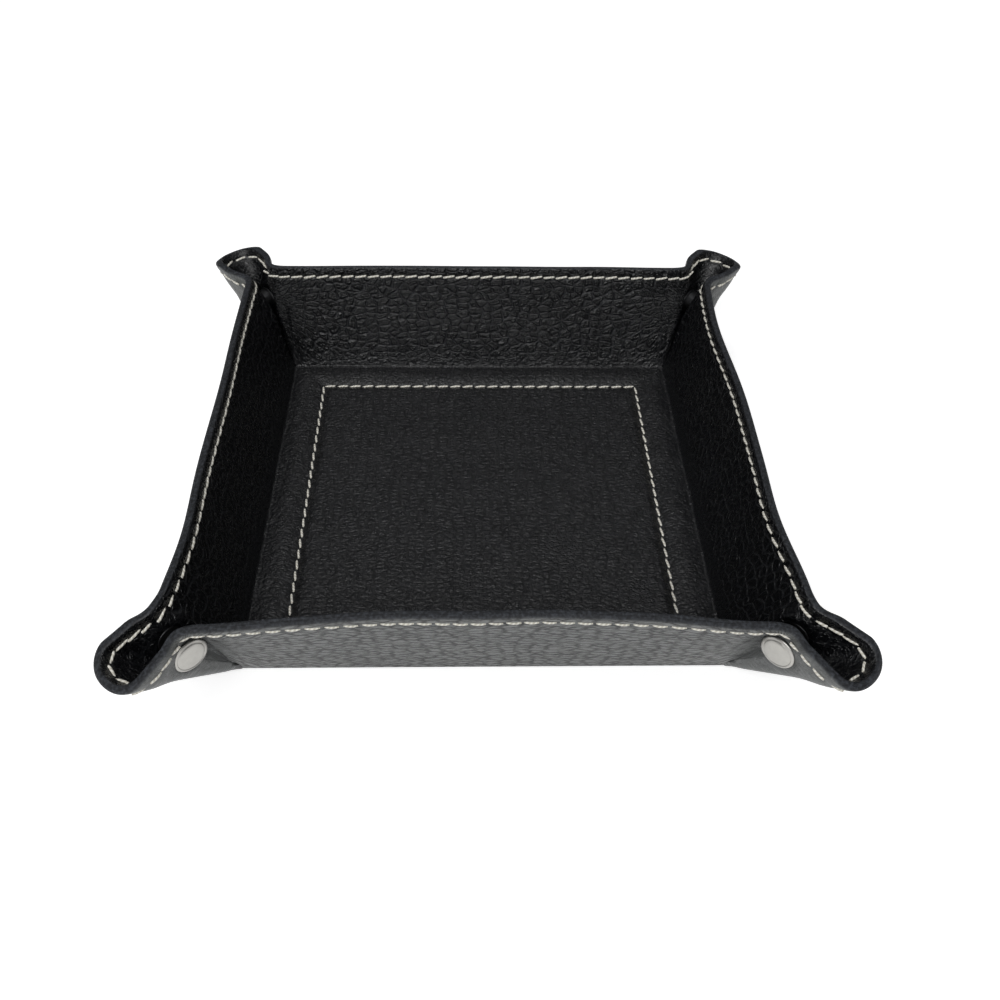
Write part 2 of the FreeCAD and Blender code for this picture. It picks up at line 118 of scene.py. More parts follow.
if np.dot(turned(wall_normal, neck_axis, neck_turn), strand_normal) < math.cos(neck_turn / 2):
    neck_turn = -neck_turn
if np.dot(turned(strand_normal, roll_axis, tip_turn), end_normal) < math.cos(tip_turn / 2):
    tip_turn = -tip_turn


def smooth(share):
    share = np.clip(share, 0, 1)
    return share * share * (3 - 2 * share)


def rising(value, start, width):
    """Soft step from 0 at the start to 1 a width further on."""
    return smooth((value - start) / width)


def falling(value, end, width):
    """Soft step down from 1 to 0 over the width before the end."""
    return smooth((end - value) / width)


def bell(value, middle, width):
    return np.exp(-((value - middle) / width) ** 2)


def ripple(u, v, wave, seed):
    """Soft unevenness of a hide, about -1 to 1, with hills of one width."""
    dice = np.random.RandomState(seed)
    total = np.zeros_like(u)
    for _ in range(7):
        heading = dice.uniform(0, 2 * math.pi)
        pace = 2 * math.pi / wave * dice.uniform(0.6, 1.5)
        way = u * math.cos(heading) + v * math.sin(heading)
        total = total + np.sin(way * pace + dice.uniform(0, 6.28))
    return total / 4


def on_side_wall(u, v):
    return np.abs(u) > np.abs(v)


def from_corner(u, v):
    """Flat place seen from the nearest base corner: along the crease, and out over the wall."""
    far = np.maximum(np.abs(u), np.abs(v))
    near = np.minimum(np.abs(u), np.abs(v))
    return base_half - near, far - base_half


def from_crease(u, v):
    """Flat distance in from the nearest crease of the base."""
    return base_half - np.maximum(np.abs(u), np.abs(v))


def from_rim(u, v):
    """Flat distance in from the cut edge of the leather square."""
    x = np.abs(u) - (sheet_half - sheet_corner)
    y = np.abs(v) - (sheet_half - sheet_corner)
    outside = np.hypot(np.maximum(x, 0), np.maximum(y, 0))
    return sheet_corner - outside - np.minimum(np.maximum(x, y), 0)


def ear_directions(flat):
    """Line from the base corner, and outward normal, at a flat angle from the crease."""
    neck_share = np.clip((flat - panel_flat) / (2 * neck_tangent), 0, 1)
    line = turned(neck_start, neck_axis, neck_turn * neck_share)
    normal = turned(wall_normal, neck_axis, neck_turn * neck_share)
    swing = (flat - neck_flat)[..., None]
    strand = neck_line * np.cos(swing) + strand_side * np.sin(swing)
    on_strand = (flat > strand_flat)[..., None]
    line = np.where(on_strand, strand, line)
    normal = np.where(on_strand, strand_normal, normal)
    tip_share = np.clip((flat - roll_flat) / (2 * tip_tangent), 0, 1)
    on_tip = (flat > roll_flat)[..., None]
    line = np.where(on_tip, turned(roll_start, roll_axis, tip_turn * tip_share), line)
    normal = np.where(on_tip, turned(strand_normal, roll_axis, tip_turn * tip_share), normal)
    return line, normal


snap_below_rim = 15 * mm
snap_off_neck = 7 * mm
snap_swing = neck_tangent
for _ in range(60):
    snap_reach = wall_slant / math.sin(neck_flat + snap_swing) - snap_below_rim
    snap_swing = math.asin(snap_off_neck / snap_reach)
snap_place = snap_reach * (neck_line * math.cos(snap_swing) + strand_side * math.sin(snap_swing))
snap_gap = float(np.dot(snap_place, across_ear))
snap_ahead = float(-snap_place[0] - snap_place[1]) / math.sqrt(2)
snap_height = float(snap_place[2])
snap_hold = 8.6 * mm
neck_hang = {"front": math.radians(7.2), "back": math.radians(0.5)}
tip_hang = {"front": math.radians(7.8), "back": math.radians(-3.4)}
end_lift = math.radians(2.0)
back_tip_rise = 4.6 * mm
draw_back, draw_front_left, draw_front_right = 0.055, 0.035, -0.03
neck_pinch = 7.4 * mm


def folded(u, v, depth):
    """Place on the folded tray of a flat point of the sheet, at a depth from its inner face.

    A wall turns up over its round crease and an ear runs over its cone. Then the ears hang or
    rise, are drawn in a little, and are pressed together where a snap holds them.
    """
    along, out = from_corner(u, v)
    flat = np.arctan2(out, along)
    reach = np.hypot(along, out)
    at_back = v > 0
    in_neck = rising(flat, 1.40, 0.2) * falling(flat, 2.12, 0.18)
    depth = depth * (1 - in_neck * (1 - np.clip(reach / neck_pinch, 0, 1)))
    bend = np.clip((out + crease_tangent) / (2 * crease_tangent), 0, 1) * fold_angle
    on_wall = out > crease_tangent
    run = np.where(on_wall, out * math.sin(lean), crease_radius * np.sin(bend) - crease_tangent)
    run = np.where(out < -crease_tangent, out, run)
    rise = np.where(on_wall, out * math.cos(lean), crease_radius * (1 - np.cos(bend)))
    line, normal = ear_directions(flat)
    drawn = np.where(at_back, draw_back, np.where(u < 0, draw_front_left, draw_front_right))
    gathered = 1 - drawn * rising(flat, neck_flat, 0.5)
    ear = line * (reach * gathered)[..., None] + normal * depth[..., None]
    in_ear = flat > panel_flat
    x = np.where(in_ear, ear[..., 0], along)
    y = np.where(in_ear, ear[..., 1], -(run + depth * np.sin(bend)))
    z = np.where(in_ear, ear[..., 2], rise - depth * np.cos(bend))

    at_neck = np.where(at_back, neck_hang["back"], neck_hang["front"])
    at_tip = np.where(at_back, tip_hang["back"], tip_hang["front"])
    hang = at_neck + (at_tip - at_neck) * rising(flat, panel_flat, diagonal - panel_flat)
    hang = hang - np.where(at_back, 0, end_lift) * rising(flat, 1.95, 0.40)
    hang = hang * bell(np.maximum(x, 0), 0, 25 * mm) * rising(out, 0, 6 * mm)
    hang = hang * np.where(at_back, rising(reach, 20 * mm, 18 * mm), 1)
    ahead = -(np.minimum(x, 0) + y) / math.sqrt(2)
    forward = (ahead * (np.cos(hang) - 1) + z * np.sin(hang)) / math.sqrt(2)
    z = z * np.cos(hang) - ahead * np.sin(hang)
    x = x - forward
    y = y - forward
    raised = np.where(at_back, back_tip_rise, 0) * rising(flat, neck_flat, 0.50)
    z = z + raised * rising(reach, 24 * mm, 18 * mm)

    apart = (x - y) / math.sqrt(2)
    off_axis = np.hypot(-(x + y) / math.sqrt(2) - snap_ahead, z - snap_height)
    closed = falling(off_axis, snap_hold, 4.4 * mm) * falling(flat, diagonal, 0.10)
    closed = closed * (snap_gap + depth - apart) / math.sqrt(2)
    x = x + closed
    y = y - closed
    on_side = on_side_wall(u, v)
    right = np.where(u < 0, -1, 1)
    back = np.where(v < 0, -1, 1)
    place_x = right * (base_half - np.where(on_side, y, x))
    place_y = back * (base_half - np.where(on_side, x, y))
    return np.stack((place_x, place_y, sheet_thickness + z), axis=-1)


def under_snap(back):
    """Flat place, along and out from a base corner, of the leather that lies on the snap's axis."""
    flats = np.linspace(panel_flat, roll_flat, 400)
    along, out = snap_reach * np.cos(flats), snap_reach * np.sin(flats)
    places = folded(along - base_half, back * (base_half + out), np.zeros(400))
    nearest = np.argmin(np.abs(places[:, 2] - sheet_thickness - snap_height))
    return along[nearest], out[nearest]


front_seat = under_snap(-1)
back_seat = under_snap(1)


def from_snap(u, v):
    """Flat offsets from the middle of the nearest snap: along the crease, and out over the wall."""
    along, out = from_corner(u, v)
    seat_along = np.where(v > 0, back_seat[0], front_seat[0])
    seat_out = np.where(v > 0, back_seat[1], front_seat[1])
    return along - seat_along, out - seat_out


wave_height = 0.30 * mm
back_bow = 1.1 * mm
nip_depth = 2.3 * mm
side_bows = ((-1, -55, 19, -3.1), (1, 46, 25, -2.5), (1, -48, 17, -2.2))
neck_gathers = ((1.52, 0.035, 0.30), (1.655, 0.03, 0.42), (1.78, 0.028, 0.38), (1.90, 0.03, 0.24))


def sway(u, v):
    """How far both layers together leave the plain folds, outward.

    Soft waves, rims that bow between the ears, ears that flare, a nip at the snap's neck, and the
    gathers beside it. Side, place, width and draw of a bow, and depth of a gather, in millimetres.
    """
    along, out = from_corner(u, v)
    flat = np.arctan2(out, along)
    reach = np.hypot(along, out)
    on_side = on_side_wall(u, v)
    at_back = v > 0
    clear = 1 - bell(np.hypot(*from_snap(u, v)), 0, 6.5 * mm)
    waves = wave_height * ripple(u, v, 46 * mm, 3) * rising(out, 0, 20 * mm)
    bow = np.zeros_like(u)
    for right, place, width, draw in side_bows:
        here = (u * right > 0) & on_side
        bow = bow + np.where(here, draw * mm * bell(v, place * mm, width * mm), 0)
    bow = bow + np.where(at_back & ~on_side, back_bow * falling(np.abs(u), 66 * mm, 30 * mm), 0)
    bow = bow * rising(out, 0, wall_slant) * falling(flat, 1.80, 0.25)
    strand_spread = np.where(at_back, 2.7 * mm, 2.2 * mm)
    end_spread = np.where(at_back, 1.8 * mm, 0)
    from_end = falling(flat, diagonal, np.where(at_back, 0.40, 0.24))
    flare = end_spread + (strand_spread - end_spread) * from_end
    flare = flare * rising(reach, 24 * mm, 15 * mm)
    flare = flare * rising(flat, neck_flat - 0.04, np.where(at_back, 0.3, 0.2))
    nip = nip_depth * bell(flat, neck_flat, 0.13) * bell(reach, 23.5 * mm, 8.5 * mm)
    gathers = np.zeros_like(u)
    for angle, width, deep in neck_gathers:
        wander = 0.03 * np.sin(reach / (5 * mm) + angle * 9)
        gathers = gathers - deep * mm * bell(flat, angle + wander, width)
    gathers = gathers * rising(reach, 5 * mm, 7 * mm) * falling(reach, 29 * mm, 9 * mm)
    waves = waves * falling(flat, 2.20, 0.16)
    return (waves + bow + flare - nip + gathers) * clear * rising(out, 0, 4 * mm)


def rounded_edge(u, v):
    """How far a face drops away where the cut edge is rounded off and dyed."""
    radius = 0.65 * mm
    inside = np.clip(radius - from_rim(u, v), 0, radius)
    return radius - np.sqrt(radius ** 2 - inside ** 2)


def needle_pull(u, v, pitch):
    """Share of its full pull that the thread has along a seam, most at each needle hole."""
    along = np.where(on_side_wall(u, v), v, u)
    return 0.75 + 0.25 * np.cos(2 * math.pi * along / pitch)


def drawn_in(u, v):
    """How far the thread pulls a face down along the rim seam."""
    off_seam = from_rim(u, v) - seam_inset
    dip = 0.26 * mm * needle_pull(u, v, rim_hole_pitch) * bell(off_seam, 0, 0.75 * mm)
    return dip - 0.10 * mm * bell(off_seam, -1.9 * mm, 0.9 * mm)


def snap_press(u, v, radius):
    """How far a snap's flange presses its seat into a face."""
    away = np.hypot(*from_snap(u, v))
    seat = 0.35 * mm * falling(away, radius + 1.1 * mm, 1.0 * mm)
    return seat - 0.14 * mm * bell(away, radius + 1.6 * mm, 0.8 * mm)


def outer_depth(u, v):
    """Depth of the outer face from the inner one."""
    inside = from_crease(u, v)
    groove = 0.74 * mm * np.exp(-((inside - base_seam_inset) / (0.8 * mm)) ** 4)
    hollow = 0.16 * mm * np.sin(math.pi * np.clip(inside / base_seam_inset, 0, 1)) ** 2
    press = snap_press(u, v, np.where(on_side_wall(u, v), 4.4 * mm, 5.0 * mm))
    face = sheet_thickness + sway(u, v)
    return face - groove - hollow - drawn_in(u, v) - rounded_edge(u, v) - press


def outer_back(u, v):
    return leather + layer_slit + sway(u, v)


def grain_place(u, v):
    """Flat place for the hide's grain. Round each snap its lines fan out over the wall."""
    along, out = from_corner(u, v)
    beyond, above = from_snap(u, v)
    spread = 24 * mm * np.arctan2(above, np.maximum(beyond, 1 * mm))
    fan = falling(np.hypot(beyond, above), 46 * mm, 30 * mm)
    fan = fan * falling(np.arctan2(out, along), 1.95, 0.25)
    fan = fan * (out > 0) * (np.abs(v) > np.abs(u))
    shifted = np.sign(v) * (spread - above) * fan
    return np.stack((u, v + shifted, np.zeros_like(u)), axis=-1)


def placed(name, data):
    """An object in the scene, at the origin."""
    thing = bpy.data.objects.new(name, data)
    bpy.context.scene.collection.objects.link(thing)
    return thing


def note(mesh, label, values):
    """Keeps a number or a vector at each point of a mesh."""
    kind, field = ("FLOAT", "value") if values.ndim == 1 else ("FLOAT_VECTOR", "vector")
    values = values.astype(np.float32).ravel()
    mesh.attributes.new(label, kind, "POINT").data.foreach_set(field, values)


def leather_piece(name, u, v, face_depth, back_depth, cut_edge, finish):
    """A closed piece of one leather layer over a grid of flat points.

    With a cut edge the last row of the grid is the rim, and it is left round.
    """
    rows, columns = u.shape
    shift = rows * columns
    face = folded(u, v, face_depth(u, v)).reshape(-1, 3)
    back = folded(u, v, back_depth(u, v)).reshape(-1, 3)
    points = np.concatenate((face, back))
    index = np.arange(shift).reshape(rows, columns)
    quads = (index[:-1, :-1], index[:-1, 1:], index[1:, 1:], index[1:, :-1])
    quads = np.stack(quads, axis=-1).reshape(-1, 4)
    round_edge = (index[0, :], index[1:, -1], index[-1, -2::-1], index[-2:0:-1, 0])
    round_edge = np.concatenate(round_edge)
    following = np.roll(round_edge, -1)
    sides = np.stack((following, round_edge, round_edge + shift, following + shift), axis=-1)
    faces = np.concatenate((quads, quads[:, ::-1] + shift, sides))
    first, second, third, fourth = np.moveaxis(points[faces] - points.mean(axis=0), 1, 0)
    if np.sum(first * np.cross(third, fourth - second)) < 0:
        faces = faces[:, ::-1]
    mesh = bpy.data.meshes.new(name)
    mesh.from_pydata(points.tolist(), [], faces.tolist(), shade_flat=False)
    mesh.materials.append(finish)
    border = np.zeros(2 * shift, bool)
    border[round_edge] = True
    border[round_edge + shift] = True
    if cut_edge:
        border[index[-1, 1:-1]] = False
    ends = np.zeros(2 * len(mesh.edges), np.int32)
    mesh.edges.foreach_get("vertices", ends)
    ends = ends.reshape(-1, 2)
    sharp = border[ends[:, 0]] & border[ends[:, 1]]
    mesh.attributes.new("sharp_edge", "BOOLEAN", "EDGE").data.foreach_set("value", sharp)
    u, v = np.tile(u.ravel(), 2), np.tile(v.ravel(), 2)
    along, out = from_corner(u, v)
    note(mesh, "grain", grain_place(u, v))
    note(mesh, "trimmed", 1 - rising(from_rim(u, v), 0, 0.9 * mm))
    note(mesh, "upright", rising(out, -5 * mm, 14 * mm))
    note(mesh, "taut", 0.74 * rising(np.arctan2(out, along), 1.66, 0.16) * rising(out, 0, 6 * mm))
    mesh.update()
    return placed(name, mesh)


def fill(tree, node, inputs):
    """Links or sets the inputs of a node."""
    for key, value in inputs.items():
        if isinstance(value, bpy.types.NodeSocket):
            tree.links.new(value, node.inputs[key])
        else:
            node.inputs[key].default_value = value


def add_node(tree, kind, inputs, settings):
    node = tree.nodes.new(kind)
    for key, value in settings.items():
        setattr(node, key, value)
    fill(tree, node, inputs)
    return node


def start_finish(name):
    """A new finish, a maker of its nodes, and a filler of its shader's sockets."""
    finish = bpy.data.materials.new(name)
    finish.use_nodes = True
    tree = finish.node_tree

    def add(kind, inputs={}, **settings):
        return add_node(tree, kind, inputs, settings)

    def dress(inputs):
        fill(tree, tree.nodes["Principled BSDF"], inputs)

    return finish, add, dress


edge_tones = ((0.004, 0.005, 0.007), (0.036, 0.040, 0.048))
wall_relief_share = 0.72


def leather_finish(
    name, wall_tones_with_painted_light, base_tones_with_painted_light, wall_grain, base_grain, stretch, relief, base_share, gloss, dull,
):
    """Pebbled, dyed and waxed cowhide: pebbles parted by creases, pores, and a dull dyed cut edge.

    Tones are pairs, for the creases and the pebbles, and so is a grain: a pebble's size, and its
    crease's share of it. The pebbles' height is a share of the relief, another one on the base.
    The tones carry painted light: the wall pair and the base pair of one hide are painted as its
    lit and shaded copies, with painted sheen on pebbles and painted highlights on creases.
    """
    finish, add, dress = start_finish(name)

    def maths(operation, first, second):
        return add("ShaderNodeMath", {0: first, 1: second}, operation=operation).outputs[0]

    def mixed(share, first, second):
        """Two colours, or two numbers, mixed by a share."""
        if isinstance(first, tuple):
            first, second = (*first, 1), (*second, 1)
        colour = isinstance(first, tuple) or first.type == "RGBA"
        kind, low, high, result = ("RGBA", 6, 7, 2) if colour else ("FLOAT", 2, 3, 0)
        inputs = {0: share, low: first, high: second}
        return add("ShaderNodeMix", inputs, data_type=kind).outputs[result]

    def noise(place, scale, detail, **settings):
        inputs = {"Vector": place, "Scale": scale, "Detail": detail}
        return add("ShaderNodeTexNoise", inputs, **settings).outputs

    def ranged(value, limits, **settings):
        return add("ShaderNodeMapRange", {"Value": value, **limits}, **settings).outputs["Result"]

    def noted(label, result="Fac"):
        return add("ShaderNodeAttribute", attribute_name=label).outputs[result]

    place = noted("grain", "Vector")
    edge, upright, taut = noted("trimmed"), noted("upright"), noted("taut")
    pebble = wall_grain[0]
    warp = noise(place, 0.55 / pebble, 2, noise_dimensions="2D")
    centred = add(
        "ShaderNodeVectorMath", {0: warp["Color"], 1: (0.5, 0.5, 0.5)}, operation="SUBTRACT")
    scaled = add(
        "ShaderNodeVectorMath", {0: centred.outputs[0], "Scale": 0.9 * pebble}, operation="SCALE")
    warped = add("ShaderNodeVectorMath", {0: place, 1: scaled.outputs[0]}, operation="ADD")

    def pebbles(size, crease_share):
        """Rise from the creases to the tops of pebbles of one size."""
        squeeze = add("ShaderNodeMapping", {
            "Vector": warped.outputs[0], "Scale": (1 / (size * stretch), 1 / size, 1),
        })
        cells = add(
            "ShaderNodeTexVoronoi", {"Vector": squeeze.outputs[0], "Scale": 1, "Randomness": 0.85},
            voronoi_dimensions="2D", feature="DISTANCE_TO_EDGE",
        )
        limits = {"From Max": crease_share}
        return ranged(cells.outputs["Distance"], limits, interpolation_type="SMOOTHERSTEP")

    coarse = maths("MAXIMUM", mixed(upright, pebbles(*base_grain), pebbles(*wall_grain)), taut)
    fine = pebbles(pebble * 0.31, 0.30)
    pores = noise(place, 2.6 / mm, 3, noise_dimensions="2D")["Fac"]
    height = maths("MULTIPLY", upright, wall_relief_share - base_share)
    height = maths("ADD", height, base_share)
    skin = maths("ADD", maths("MULTIPLY", coarse, height), maths("MULTIPLY", fine, 0.20))
    skin = maths("ADD", skin, maths("MULTIPLY", pores, 0.10))
    brushed = noise(add("ShaderNodeTexCoord").outputs["Object"], 1.3 / mm, 4)["Fac"]
    bump = add("ShaderNodeBump", {
        "Strength": 1.0, "Distance": relief,
        "Height": mixed(edge, skin, maths("MULTIPLY", brushed, 0.6)),
    })

    dye = noise(place, 1 / (17 * mm), 3, noise_dimensions="2D")["Fac"]
    faded = ranged(warp["Fac"], {"From Min": 0.42, "From Max": 0.66, "To Max": 0.8})
    shown = maths("MAXIMUM", coarse, faded)
    # Painted light: the crease and pebble tones, switched from base tones to wall tones by upright,
    # paint lit and shaded copies of one hide, with painted sheen and painted highlights.
    hide = mixed(upright, mixed(shown, *base_tones_with_painted_light), mixed(shown, *wall_tones_with_painted_light))
    patchy = add(
        "ShaderNodeMix", {0: dye, 6: hide, 7: (0.62, 0.64, 0.68, 1)},
        data_type="RGBA", blend_type="MULTIPLY",
    )
    scuffs = ranged(brushed, {"From Min": 0.42, "From Max": 0.68})
    worn = maths("ADD", maths("MULTIPLY", coarse, 0.7), maths("MULTIPLY", dye, 0.3))
    wear = ranged(worn, {"To Min": dull + 0.16, "To Max": dull})
    dress({
        "Specular IOR Level": gloss,
        "Base Color": mixed(edge, patchy.outputs[2], mixed(scuffs, *edge_tones)),
        "Roughness": maths("MAXIMUM", wear, maths("MULTIPLY", edge, 0.72)),
        "Normal": bump.outputs["Normal"],
    })
    return finish


# Painted sheen: the black outer leather's pebble tones are painted grey as the white table's sheen,
# lighter on the walls than on the underside.
outer_finish = leather_finish(
    "Outer_leather",
    wall_tones_with_painted_light=((0.008, 0.009, 0.009), (0.165, 0.171, 0.164)),
    base_tones_with_painted_light=((0.012, 0.013, 0.013), (0.120, 0.125, 0.120)),
    wall_grain=(1.7 * mm, 0.34), base_grain=(1.7 * mm, 0.34), stretch=2.4,
    relief=0.55 * mm, base_share=0.72, gloss=0.5, dull=0.36,
)

near_seam = [
    62, 61, 60, 59.2, 58.6, 58.1, 57.7, 57.3, 56.9, 56.5, 56.1, 55.7, 55.3, 54.9, 54.4, 53.8,
    53.1, 52.2,
]
columns = np.array(near_seam + list(np.linspace(51.2, 0, 50)))
columns = np.concatenate((-columns[:-1], columns[::-1])) * mm
base_v, base_u = np.meshgrid(columns, columns, indexing="ij")
base_outer = leather_piece(
    "base_outer_hide", base_u, base_v, outer_depth, outer_back, False, outer_finish)
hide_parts("base_outer_leather")
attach(base_outer, "base")

# Base board: a square of grey fibreboard that keeps the base flat.
# It lies loose between the two leathers, inside the seam, and no edge of it shows.
board_finish, add, dress = start_finish("Fibreboard")
board_place = add("ShaderNodeTexCoord").outputs["Object"]
fibres = add("ShaderNodeTexNoise", {"Vector": board_place, "Scale": 900, "Detail": 6})
pulp = add(
    "ShaderNodeMix",
    {0: fibres.outputs["Fac"], 6: (0.17, 0.15, 0.12, 1), 7: (0.31, 0.28, 0.23, 1)},
    data_type="RGBA",
)
dress({"Base Color": pulp.outputs[2], "Roughness": 0.9})
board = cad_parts["base_board"]
board.data.materials.clear()
board.data.materials.append(board_finish)

# Lining of the base: the middle of the second leather square, black and more finely pebbled.
# It is drawn down by the base seam round the board, and stands up in a soft roll along each crease.
def over_board(u, v, slope):
    """How far the board lifts the lining, over a slope beside the seam."""
    return 1.0 * mm * rising(from_crease(u, v), 12.1 * mm, slope)


def lining_depth(u, v):
    """Depth of the lining's face; less than nothing where it stands up from the plain fold."""
    inside = from_crease(u, v)
    swell = np.sin(math.pi * np.clip(inside / base_seam_inset, 0, 1)) ** 1.1
    roll = 1.05 * mm * swell * (1 + 0.28 * ripple(u, v, 24 * mm, 11))
    pull = needle_pull(u, v, base_hole_pitch)
    dip = 0.24 * mm * pull * bell(inside, base_seam_inset, 0.8 * mm)
    soft = 0.10 * mm * ripple(u, v, 30 * mm, 5) * rising(inside, 15 * mm, 12 * mm)
    face = sway(u, v) - over_board(u, v, 2.4 * mm) - roll + dip - soft
    return face + drawn_in(u, v) + rounded_edge(u, v) + snap_press(u, v, 4.2 * mm)


def lining_back(u, v):
    return leather - layer_slit + sway(u, v) - over_board(u, v, 1.8 * mm)


# Painted light on the black lining: on the walls the creases are painted lighter than the pebbles,
# as painted highlights on their edges; on the base the pebble tops are painted lighter, as painted
# sheen.
lining_finish = leather_finish(
    "Lining_leather",
    wall_tones_with_painted_light=((0.013, 0.0135, 0.015), (0.0018, 0.0020, 0.0026)),
    base_tones_with_painted_light=((0.0040, 0.0041, 0.0046), (0.0150, 0.0152, 0.0164)),
    wall_grain=(2.4 * mm, 0.20), base_grain=(1.9 * mm, 0.38), stretch=1.55,
    relief=0.42 * mm, base_share=0.25, gloss=0.45, dull=0.24,
)
base_lining = leather_piece(
    "base_lining_hide", base_u, base_v, lining_depth, lining_back, False, lining_finish)
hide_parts("base_lining")
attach(base_lining, "base")

# Base seam: waxed cream thread in a lockstitch, through both leathers just outside the board.
# On the underside it lies in its groove, so that the tray stands on leather.
thread_thick = 0.78 * mm
stitch_length = 3.85 * mm
stitch_sink = 0.32 * mm
ply_twist = 21

thread_finish, add, dress = start_finish("Waxed_thread")
along_thread = add("ShaderNodeAttribute", attribute_name="along").outputs["Fac"]
round_thread = add("ShaderNodeAttribute", attribute_name="round").outputs["Vector"]
split = add("ShaderNodeSeparateXYZ", {0: round_thread}).outputs
bearing = add("ShaderNodeMath", {0: split["Y"], 1: split["X"]}, operation="ARCTAN2").outputs[0]
lay = add(
    "ShaderNodeMath", {0: along_thread, 1: ply_twist, 2: bearing}, operation="MULTIPLY_ADD")
plies = add("ShaderNodeMath", {0: lay.outputs[0]}, operation="SINE").outputs[0]
ply_bump = add("ShaderNodeBump", {"Strength": 0.7, "Distance": 0.08 * mm, "Height": plies})
# Painted shade: the thread is painted darker in the grooves between its plies.
painted_ply_shade = add("ShaderNodeMapRange", {"From Min": -1, "Value": plies}).outputs["Result"]
cream = add(
    "ShaderNodeMix", {0: painted_ply_shade, 6: (0.58, 0.55, 0.47, 1), 7: (0.86, 0.84, 0.77, 1)},
    data_type="RGBA",
)
dress({
    "Base Color": cream.outputs[2], "Normal": ply_bump.outputs["Normal"],
    "Roughness": 0.55, "Specular IOR Level": 0.4,
})

stitching = bpy.data.node_groups.new("Lockstitch", "GeometryNodeTree")
for label, kind in (
    ("Needle places", "NodeSocketGeometry"),
    ("Stitch length", "NodeSocketFloat"),
    ("Thread thickness", "NodeSocketFloat"),
    ("Sink", "NodeSocketFloat"),
    ("Unevenness", "NodeSocketFloat"),
    ("Seed", "NodeSocketInt"),
    ("Thread", "NodeSocketMaterial"),
):
    stitching.interface.new_socket(label, in_out="INPUT", socket_type=kind)
stitching.interface.new_socket("Stitches", in_out="OUTPUT", socket_type="NodeSocketGeometry")


def knot(kind, inputs={}, result=0, **settings):
    """What comes out of one node of the stitch tree."""
    return add_node(stitching, kind, inputs, settings).outputs[result]


def times(first, second):
    return knot("ShaderNodeMath", {0: first, 1: second}, operation="MULTIPLY")


def marked(curve, label, kind, value):
    """A curve with a value kept at each of its points, for the thread's finish."""
    inputs = {"Geometry": curve, "Name": label, "Value": value}
    return knot("GeometryNodeStoreNamedAttribute", inputs, data_type=kind, domain="POINT")


def needle_note(label, kind):
    return knot("GeometryNodeInputNamedAttribute", {"Name": label}, data_type=kind)


given = stitching.nodes.new("NodeGroupInput").outputs
half = times(given["Stitch length"], 0.5)
sunk = times(given["Sink"], -1.0)
loop = knot("GeometryNodeCurveQuadraticBezier", {
    "Resolution": 6,
    "Start": knot("ShaderNodeCombineXYZ", {"X": times(half, -1.0), "Z": sunk}),
    "Middle": knot("ShaderNodeCombineXYZ", {"Z": given["Sink"]}),
    "End": knot("ShaderNodeCombineXYZ", {"X": half, "Z": sunk}),
})
loop = marked(loop, "along", "FLOAT", knot("GeometryNodeSplineParameter", result="Factor"))
profile = knot(
    "GeometryNodeCurvePrimitiveCircle",
    {"Resolution": 7, "Radius": times(given["Thread thickness"], 0.5)}, mode="RADIUS",
)
profile = marked(profile, "round", "FLOAT_VECTOR", knot("GeometryNodeInputPosition"))
stitch = knot(
    "GeometryNodeCurveToMesh", {"Curve": loop, "Profile Curve": profile, "Fill Caps": True})
lie = knot(
    "FunctionNodeAxesToRotation",
    {
        "Primary Axis": needle_note("way", "FLOAT_VECTOR"),
        "Secondary Axis": needle_note("off", "FLOAT_VECTOR"),
    },
    primary_axis="X", secondary_axis="Z",
)
most = given["Unevenness"]
tilt = knot(
    "FunctionNodeRandomValue", {2: times(most, -1.0), 3: most, "Seed": given["Seed"]},
    result=1, data_type="FLOAT",
)
skew = knot("FunctionNodeAxisAngleToRotation", {"Axis": (0, 0, 1), "Angle": tilt})
lie = knot(
    "FunctionNodeRotateRotation", {"Rotation": lie, "Rotate By": skew}, rotation_space="LOCAL")
pull = knot(
    "FunctionNodeRandomValue", {2: 0.96, 3: 1.04, "Seed": given["Seed"]},
    result=1, data_type="FLOAT",
)
run = times(needle_note("run", "FLOAT"), pull)
laid = knot("GeometryNodeInstanceOnPoints", {
    "Points": given["Needle places"], "Instance": stitch, "Rotation": lie,
    "Scale": knot("ShaderNodeCombineXYZ", {"X": run, "Y": pull, "Z": pull}),
})
laid = knot("GeometryNodeRealizeInstances", {"Geometry": laid})
laid = knot("GeometryNodeSetMaterial", {"Geometry": laid, "Material": given["Thread"]})
stitching.links.new(laid, stitching.nodes.new("NodeGroupOutput").inputs[0])


